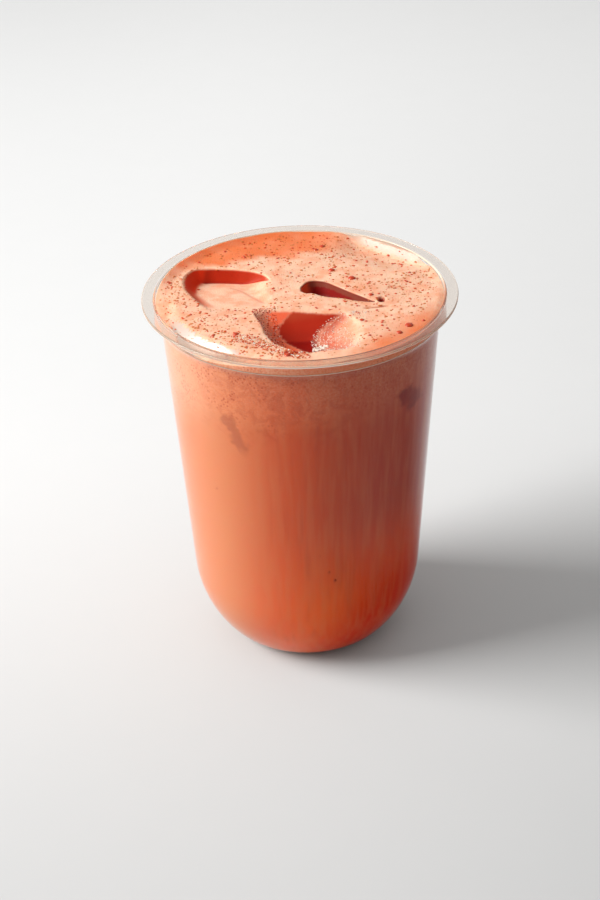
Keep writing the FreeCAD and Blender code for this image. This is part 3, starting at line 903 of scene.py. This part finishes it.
class JUICE_OT_cup(bpy.types.Operator):
    """Build the clear cup in place of the plain one"""
    bl_idname = "juice.cup"
    bl_label = "Clear cup"

    def execute(self, context):
        cup = settings()[0]
        form, wall = CupForm(cup), cup.wall
        ledge, under, top = form.ledge_height, form.underside, form.height
        inner_ledge = ledge + wall
        below = inner_ledge - RUN_UNDER_LEDGE
        outer = form.bowl(0) + form.rise(cup.bowl_centre, ledge, 0, 30)[1:]
        inside = form.bowl(wall) + form.rise(cup.bowl_centre, below, wall, 30)[1:]
        rim = [
            (*outer[-1], 0),
            (form.collar_radius(ledge, 0), ledge, 0.0005),
            (form.collar_radius(under, 0), under, 0.0003),
            (form.rim, under, 0.00035),
            (form.rim, top, 0.00035),
            (form.collar_radius(top, wall), top, 0.0005),
            (form.collar_radius(inner_ledge, wall), inner_ledge, 0.0003),
            (form.wall_radius(inner_ledge, wall), inner_ledge, 0.0004),
            (form.wall_radius(below, wall), below, 0),
        ]
        profile = outer[:-1] + rounded(rim, 7).tolist() + inside[::-1][1:]
        piece = mesh_object("cup_clear", *turned(profile, 256), clear_plastic(cup))
        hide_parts("cup")
        return {"FINISHED"}


class JUICE_OT_juice(bpy.types.Operator):
    """Build the juice, which reaches just into the wall"""
    bl_idname = "juice.juice"
    bl_label = "Juice"

    def execute(self, context):
        cup, drink, _ = settings()
        form = CupForm(cup)
        offset = cup.wall - drink.bite
        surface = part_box("juice")[1].z
        profile = form.bowl(offset) + form.rise(cup.bowl_centre, surface, offset, 40)[1:]
        rings = [(profile[-1][0] * share, surface) for share in (0.9, 0.5, 0)]
        piece = mesh_object("juice_fill", *turned(profile + rings, 200), juice_material(drink))
        piece.data.set_sharp_from_angle(angle=math.radians(40))
        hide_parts("juice")
        return {"FINISHED"}


def lens_grid(edge, columns, rows):
    """Places of a grid over a disc, in columns that meet at its left and right ends.

    Column x is -edge cos t, with t in nearly even steps of the half turn, and it runs
    between -edge sin t and edge sin t. Its rows are closest together where they follow
    the far walls of the dips, so that those walls come out clean.
    """
    u = np.linspace(0, 1, columns + 1)[1:-1]
    turn = np.pi * u + 0.157 * np.sin(2 * np.pi * u)
    x, half = -edge * np.cos(turn), edge * np.sin(turn)
    far_walls = [first + last for first, last in zip(FAR_EDGE_OF_PRINT, FAR_EDGE_OF_GASH)]
    scoop, wall = along(FAR_EDGE_OF_SCOOP, x), along(far_walls, x)
    places = np.stack([-half, scoop - 4.0, scoop + 0.9, wall - 2.6, wall + 0.5, half])
    shares = (places + half) / (2 * half)
    marks = np.array((0, 0.29, 0.39, 0.58, 0.70, 1))
    shares = np.clip(shares, 0.25 * marks[:, None], 1 - 0.25 * (1 - marks[:, None]))
    for k in range(1, len(marks)):
        shares[k] = np.maximum(shares[k], shares[k - 1] + 0.25 * (marks[k] - marks[k - 1]))
    weights = [np.interp(np.linspace(0, 1, rows + 1), marks, unit) for unit in np.eye(len(marks))]
    y = half[:, None] * (2 * shares.T @ np.array(weights) - 1)
    return x[:, None] + 0 * y, y


def lens_faces(columns, rows, rings):
    """Faces of a lens grid whose edge goes on down as rings, closed by a last point."""
    wide = rows + 1
    grid = 1 + np.arange(columns - 1)[:, None] * wide + np.arange(wide)
    right = 1 + grid.size
    quads = np.stack([grid[:-1, :-1], grid[1:, :-1], grid[1:, 1:], grid[:-1, 1:]], -1)
    first, last = grid[0], grid[-1]
    fans = np.concatenate([
        np.stack([0 * first[1:], first[:-1], first[1:]], -1),
        np.stack([last[:-1], 0 * last[1:] + right, last[1:]], -1)])
    loop = np.concatenate([[right], grid[::-1, -1], [0], grid[:, 0]])
    below = right + 1 + np.arange(rings)[:, None] * len(loop) + np.arange(len(loop))
    upper, lower = np.vstack([loop, below[:-1]]), below
    walls = np.stack([lower, np.roll(lower, -1, 1), np.roll(upper, -1, 1), upper], -1)
    base = below[-1]
    floor = np.stack([0 * base + base[-1] + 1, np.roll(base, -1), base], -1)
    sides = np.vstack([quads.reshape(-1, 4), walls.reshape(-1, 4)])
    return loop, sides.tolist() + fans.tolist() + floor.tolist()


class JUICE_OT_foam(bpy.types.Operator):
    """Build the head of foam with its three dips"""
    bl_idname = "juice.foam"
    bl_label = "Foam"

    columns: count("Columns", "Columns across the top", 296)
    rows: count("Rows", "Rows in a column", 256)

    def execute(self, context):
        cup, drink, _ = settings()
        form = CupForm(cup)
        offset = cup.wall - drink.bite
        low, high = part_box("foam")
        top, bottom = high.z / MM, low.z / MM
        edge = form.collar_radius(high.z, offset) / MM
        x, y = lens_grid(edge, self.columns, self.rows)
        x = np.concatenate([[-edge], x.ravel(), [edge]])
        y = np.concatenate([[0], y.ravel(), [0]])
        fields = foam_surface(x, y, edge, top)
        z = fields[0]
        shrink = np.minimum(1, form.collar_radius(z * MM, offset) / MM / np.hypot(x, y).clip(1e-6))
        surface = np.stack([x * shrink, y * shrink, z], -1)

        loop, faces = lens_faces(self.columns, self.rows, 23)
        side = self.side(form, offset, np.arctan2(y[loop], x[loop]), z[loop], bottom)
        verts = np.vstack([surface, side, [(0, 0, bottom)]])
        piece = mesh_object("foam_head", verts * MM, faces, foam_material(drink))
        tone, wet, gloss = foam_tones(x, y, *fields, drink)
        rest = len(verts) - len(surface)
        paint_points(piece, "tone", np.vstack([tone, np.tile(drink.foam, (rest, 1))]))
        for name, values in (("wet", wet), ("gloss", gloss), ("on_top", 1 + 0 * wet)):
            weigh_points(piece, name, np.append(values, np.zeros(rest)))
        normals = slopes(lambda u, v: foam_surface(u, v, edge, top)[0], x, y)
        outward = side * (1, 1, 0)
        outward = outward / np.linalg.norm(outward, axis=1, keepdims=True)
        normals = np.vstack([normals, outward, [(0, 0, -1)]])
        piece.data.normals_split_custom_set_from_vertices(normals.tolist())
        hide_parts("foam")
        return {"FINISHED"}

    def side(self, form, offset, around, start, bottom):
        """Points of 23 rings in millimetres: down the collar, down the wall and inwards."""
        ledge = (form.ledge_height + offset) / MM
        down = np.array((0.04, 0.2, 0.4, 0.6, 0.8, 0.9, 1))[:, None]
        collar_z = mix(start, ledge, down)
        collar_r = form.collar_radius(collar_z * MM, offset) / MM
        wall_z = np.linspace(ledge, bottom, 14)[:, None] + 0 * around
        wall_r = form.wall_radius(wall_z * MM, offset) / MM
        base_r = wall_r[-1] * np.array([[0.8], [0.4]])
        r = np.vstack([collar_r, wall_r, base_r])
        z = np.vstack([collar_z, wall_z, wall_z[-1] + 0 * base_r])
        return np.stack([*polar(r, around), z], -1).reshape(-1, 3)


# Radii in millimetres within which pores, bubbles and froth are scattered.
PORE_REACH, BUBBLE_REACH, FROTH_REACH = 42.6, 41, 42.4

# X, Y and radius of the large bubbles, in millimetres.
LARGE_BUBBLES = ((10, 16.4, 1.05), (16, 10.2, 1.15), (7.5, 33.5, 0.85), (21.3, -1.3, 0.8),
                 (31.5, -21.7, 1.2), (28.5, -26, 0.9), (18, -17.5, 0.7), (-18.8, -24.5, 0.85),
                 (5.5, 31.0, 0.7), (-4, -38, 0.9), (-31, 12.5, 0.6))


class JUICE_OT_bubbles(bpy.types.Operator):
    """Scatter the pores and the bubbles over the foam"""
    bl_idname = "juice.bubbles"
    bl_label = "Pores and bubbles"

    pores: count("Pores", "Tries for small open pores", 5200)

    def fields(self, x, y):
        """The foam's height, and how far a dip sinks it, in millimetres."""
        cup, top = settings()[0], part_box("foam")[1].z
        edge = CupForm(cup).collar_radius(top, cup.wall)
        height, level = foam_surface(x, y, edge / MM, top / MM)[:2]
        return height, level - height

    def lay(self, name, x, y, size, flat, tint, finish, lift=0.0, rings=2, segments=7):
        """Domes of one colour on the foam's surface."""
        centres = np.stack([x, y, self.fields(x, y)[0] + lift], -1)
        skin = bubble_material(name, tuple(tint), *finish)
        piece = domes(name, centres, size, size * flat, skin, rings, segments)

    def two_tones(self, names, keep, x, y, size, flat, tints, share, seed, finish):
        """Domes of two colours where they are kept, the first taking a share of them."""
        x, y, size = x[keep], y[keep], size[keep]
        first = scatter(len(x), seed) < share
        for name, chosen, tint in zip(names, (first, ~first), tints):
            self.lay(name, x[chosen], y[chosen], size[chosen], flat, tint, finish)

    def crowd(self, x, y, radius):
        """How likely a pore is at a place: most round the edge, in a few patches."""
        crowd = 0.30 + 0.22 * waves(x / 5, y / 5)
        crowd = crowd + 0.45 * step(27, 33, radius) * step(-8, -20, x) * step(26, 8, y)
        near = step(28, 34, radius) * step(-26, -18, x) * step(4, -2, x) * step(-18, -24, y)
        crowd = crowd + 0.55 * near
        crowd = crowd + 0.35 * step(20, 27, y) * step(-12, 0, x) * step(26, 16, x)
        crowd = crowd + 0.30 * step(10, 15, x) * step(-10, -4, y) * step(16, 10, y)
        inwards = 2.5 * step(20, 30, np.hypot(x + 28, y + 24)) * step(0, -1, y)
        return crowd * step(43.4, 40.5, radius + inwards)

    def execute(self, context):
        drink, tries = settings()[1], self.pores
        bubble, wet, froth = (np.array(c) for c in (drink.bubble, drink.wet, drink.froth))
        radius = np.sqrt(scatter(tries, 1)) * PORE_REACH
        x, y = polar(radius, scatter(tries, 2, 0, 2 * np.pi))
        size = spread(tries, 3, 0.17, 0.34, 2.5)
        keep = (self.fields(x, y)[1] < 0.5) & (scatter(tries, 13) < self.crowd(x, y, radius))
        self.two_tones(("pores", "red_pores"), keep, x, y, size, 0.22, (drink.pore, bubble),
                       0.62, 14, (0.5, 0.0))
        few = scatter(70, 20)
        x, y = polar(BUBBLE_REACH * np.sqrt(few), scatter(70, 21, 0, 2 * np.pi))
        keep = self.fields(x, y)[1] < 0.3
        self.lay("small_bubbles", x[keep], y[keep], 0.40 + 0.16 * few[keep], 0.5, bubble,
                 (0.3, 0.2))
        self.lay("large_bubbles", *np.transpose(LARGE_BUBBLES), 0.55, mix(bubble, wet, 0.4),
                 (0.2, 0.3), -0.05, 5, 16)

        u, v = scatter(900, 4), scatter(900, 5)
        y = mix(-34, -11.5, v)
        x = along(RIGHT_OF_POOL, y) - 1.5 + 11 * u ** 1.6
        self.two_tones(("froth_right", "froth_right_red"), slice(None), x, y,
                       spread(900, 6, 0.09, 0.16, 2), 0.6, (froth, bubble), 0.75, 22, (0.12, 0.3))
        u, v = scatter(900, 7), scatter(900, 8)
        y = mix(-33, -8, v)
        x = along(LEFT_EDGE_OF_SCOOP, y) + mix(-0.4, 6.6, u)
        self.two_tones(("froth_left", "froth_left_red"), x < along(LEFT_OF_POOL, y) + 0.5, x, y,
                       spread(900, 9, 0.10, 0.16, 2), 0.6, (mix(froth, bubble, 0.4), wet), 0.4, 15,
                       (0.5, 0.3))
        x = mix(-20, 2.5, scatter(560, 16))
        y = -27 - 10.5 * step(-19, 0, x) + 2.8 * scatter(560, 17, -1)
        keep = (self.fields(x, y)[1] < 1.2) & (np.hypot(x, y) < FROTH_REACH)
        self.two_tones(("froth_near", "froth_near_red"), keep, x, y,
                       spread(560, 18, 0.11, 0.24, 2.5), 0.5, (froth, bubble), 0.22, 19, (0.5, 0.4))
        x, y = polar(np.sqrt(scatter(60, 10)), scatter(60, 11, 0, 2 * np.pi))
        self.lay("bubble_cluster", 5.4 + 2.4 * x, -23.2 + 1.6 * y, spread(60, 12, 0.18, 0.27, 1),
                 0.8, froth, (0.05, 0.2), 0.1, 4, 12)
        return {"FINISHED"}


# Centre, size and turn about X, Y and Z of the cubes under the dips, in millimetres and degrees.
DIP_CUBES = (((-20, 2, 97.0), 24, (-11.5, 0, 0)),
             ((10, 12, 97.5), 24, (20, 6, -29)),
             ((3, -20, 94.5), 24, (10, 0, 10)))

# Direction, height, lean, size and rounding of the cubes behind the wall, where they shade
# the juice, and how far past the wall's inside their edges reach.
WALL_CUBES = ((-120.6, 90.6, -23.7, 18, 3.2), (-39.0, 94.9, -30, 15, 5.6))
EDGE_REACH = -0.5

# Direction, height and radius of the specks of pulp, and how deep they are set in the wall.
PULP = ((-79.7, 40.4, 0.35), (-76.8, 36.9, 0.45), (-133.4, 66.6, 0.3), (-84, 47, 0.22))
PULP_BITE = 0.08


class JUICE_OT_ice(bpy.types.Operator):
    """Sink the ice cubes under the foam, two of them close behind the wall"""
    bl_idname = "juice.ice"
    bl_label = "Ice cubes"

    def execute(self, context):
        cup, drink, _ = settings()
        form = CupForm(cup)
        cubes = [rounded_cube(centre, size, turn_of(*turns)) for centre, size, turns in DIP_CUBES]
        cubes += [edge_at_wall(form, cup.wall, *place) for place in WALL_CUBES]
        starts = np.cumsum([0] + [len(points) for points, _ in cubes])
        points = np.vstack([points for points, _ in cubes])
        faces = np.vstack([quads + start for (_, quads), start in zip(cubes, starts)])
        piece = mesh_object("ice_cubes", points * MM, faces, ice_material(drink))
        angle, height, size = np.transpose(PULP)
        r = form.wall_radius(height * MM, cup.wall) / MM + PULP_BITE
        centres = np.stack([*polar(r, np.radians(angle)), height], -1)
        skin = bubble_material("pulp", tuple(drink.juice_dark_and_shade), 0.6, 0.0)
        pulp = domes("pulp_specks", centres, size, size / 0.8, skin, 3, 10)
        return {"FINISHED"}


def rounded_cube(centre, size, turn, rounding=2.6, steps=14):
    """A cube with round edges, turned and moved, as six sewn grids.

    A grid point of the cube is pulled to the nearest point of a smaller cube, and put
    back out by the rounding along that direction.
    """
    line = np.linspace(-1, 1, steps + 1)
    u, v = np.meshgrid(line, line, indexing="ij")
    one = np.ones_like(u)
    sides = []
    for axis in range(3):
        for sign in (-1, 1):
            parts = [u, v] if sign > 0 else [v, u]
            parts.insert(axis, one * sign)
            if axis == 1:
                parts[0], parts[2] = parts[2], parts[0]
            sides.append(np.stack(parts, -1).reshape(-1, 3))
    points = np.vstack(sides) * size / 2
    inner = np.clip(points, -size / 2 + rounding, size / 2 - rounding)
    out = points - inner
    out /= np.linalg.norm(out, axis=1)[:, None]
    points = inner + out * rounding
    i = np.arange(steps)
    a = (i[:, None] * (steps + 1) + i).ravel()
    quad = np.stack([a, a + steps + 1, a + steps + 2, a + 1], -1)
    faces = np.vstack([quad + k * (steps + 1) ** 2 for k in range(6)])
    merged, index = np.unique(np.round(points, 5), axis=0, return_inverse=True)
    return merged @ np.array(turn).T + np.array(centre), index.ravel()[faces]


def turn_of(*turns):
    """A turn about X, then Y, then Z, in degrees."""
    matrix = Matrix.Identity(3)
    for degrees, axis in zip(turns, "XYZ"):
        matrix = Matrix.Rotation(math.radians(degrees), 3, axis) @ matrix
    return matrix


def edge_at_wall(form, wall, azimuth, height, lean, size, rounding):
    """A cube with one edge out in a direction, close behind the inside of the wall.

    Its diagonal points straight at the wall, and its edge leans from the wall's slope
    by an angle about that.
    """
    a, b, c = math.radians(azimuth), math.radians(lean), form.lean
    out, across = np.array((*polar(1, a), 0)), np.array((-math.sin(a), math.cos(a), 0))
    up = np.array((0, 0, 1))
    normal, slope = math.cos(c) * out - math.sin(c) * up, math.cos(c) * up + math.sin(c) * out
    edge = math.cos(b) * slope + math.sin(b) * across
    side = np.cross(edge, normal)
    turn = np.stack([(normal - side) / math.sqrt(2), (normal + side) / math.sqrt(2), edge], 1)
    point = out * (form.wall_radius(height * MM, wall) / MM + EDGE_REACH) + up * height
    centre = point - normal * ((size / 2 - rounding) * math.sqrt(2) + rounding)
    return rounded_cube(centre, size, turn, rounding)


class JUICE_OT_stage(bpy.types.Operator):
    """Lay the floor, hang the lights and place the camera"""
    bl_idname = "juice.stage"
    bl_label = "Stage"

    def execute(self, context):
        stage = settings()[2]
        corners = np.array([(-3, -3, -0.0001), (3, -3, -0.0001), (3, 3, -0.0001), (-3, 3, -0.0001)])
        floor = mesh_object("floor", corners, [[0, 1, 2, 3]], floor_material(stage), None)
        hang_lamp(stage)
        context.scene.world = surroundings(stage)
        context.scene.camera = place_camera()
        context.scene.view_settings.view_transform = "Standard"
        return {"FINISHED"}


def stand(name, data, place, *axes):
    """Put a lamp or a camera at a place, turned by its three axes."""
    item = bpy.data.objects.new(name, data)
    turn = Matrix(np.stack(axes, 1).tolist()).to_4x4()
    item.matrix_world = Matrix.Translation(place) @ turn
    bpy.context.scene.collection.objects.link(item)
    return item


def hang_lamp(stage):
    """One soft square lamp from the left."""
    data = bpy.data.lights.new("key", "AREA")
    data.shape, data.size, data.energy = "SQUARE", 0.72, stage.key
    away = np.array((-0.80, -0.06, 0.60))
    away /= np.linalg.norm(away)
    side = np.cross((0, 0, 1), away)
    side /= np.linalg.norm(side)
    stand("key", data, away * 1.3, side, np.cross(away, side), away)


def surroundings(stage):
    """Even light all round, seen brighter in gloss and through the plastic."""
    paint = Paint(bpy.data.worlds.new("surroundings"), "Generated")
    height = paint.split()[2]
    overhead = height.ramp(0.05, 0.85, 0.04, stage.sky)
    horizon = height.ramp(0.15, 0.65, 0.85, 0.30)
    seen = paint.rays("Camera", "Glossy", "Transmission")
    level = paint.node("ShaderNodeMix", {0: seen, 2: overhead, 3: horizon})
    light = paint.node("ShaderNodeBackground", {"Color": (1, 1, 1), "Strength": level})
    return paint.finish(light, "ShaderNodeOutputWorld")


def place_camera():
    """A long lens, a little above the cup and looking down at it."""
    data = bpy.data.cameras.new("camera")
    data.lens, data.sensor_width = 80, 36
    pitch, yaw, roll = (math.radians(a) for a in (30.88, -0.14, -1.70))
    ahead = np.array((math.sin(yaw) * math.cos(pitch), math.cos(yaw) * math.cos(pitch),
                      -math.sin(pitch)))
    right = np.cross(ahead, (0, 0, 1))
    right /= np.linalg.norm(right)
    up = np.cross(right, ahead)
    level, tilt = math.cos(roll), math.sin(roll)
    return stand("camera", data, (0, -0.5391, 0.3849),
                 right * level + up * tilt, up * level - right * tilt, -ahead)


class JUICE_PT_panel(bpy.types.Panel):
    """Buttons for the pieces, and the settings they read"""
    bl_label = "Fruit juice"
    bl_idname = "JUICE_PT_panel"
    bl_space_type = "VIEW_3D"
    bl_region_type = "UI"
    bl_category = "Fruit juice"

    def draw(self, context):
        for operator in OPERATORS:
            self.layout.operator(operator.bl_idname)
        for group in settings():
            box = self.layout.box()
            for name in group.__annotations__:
                box.prop(group, name)


GROUPS = (("juice_cup", CupSettings), ("juice_drink", DrinkSettings),
          ("juice_stage", StageSettings))
OPERATORS = (JUICE_OT_cup, JUICE_OT_juice, JUICE_OT_foam, JUICE_OT_bubbles, JUICE_OT_ice,
             JUICE_OT_stage)


def register():
    """Add the settings, the operators and the panel."""
    for name, group in GROUPS:
        bpy.utils.register_class(group)
        setattr(bpy.types.Scene, name, bpy.props.PointerProperty(type=group))
    for item in (*OPERATORS, JUICE_PT_panel):
        bpy.utils.register_class(item)


def unregister():
    """Take them away again."""
    for item in (JUICE_PT_panel, *reversed(OPERATORS)):
        bpy.utils.unregister_class(item)
    for name, group in reversed(GROUPS):
        delattr(bpy.types.Scene, name)
        bpy.utils.unregister_class(group)


def main():
    """Build every piece in order."""
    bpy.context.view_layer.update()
    register()
    bpy.ops.juice.cup()
    bpy.ops.juice.juice()
    bpy.ops.juice.foam()
    bpy.ops.juice.bubbles()
    bpy.ops.juice.ice()
    bpy.ops.juice.stage()


if __name__ == "__main__":
    main()
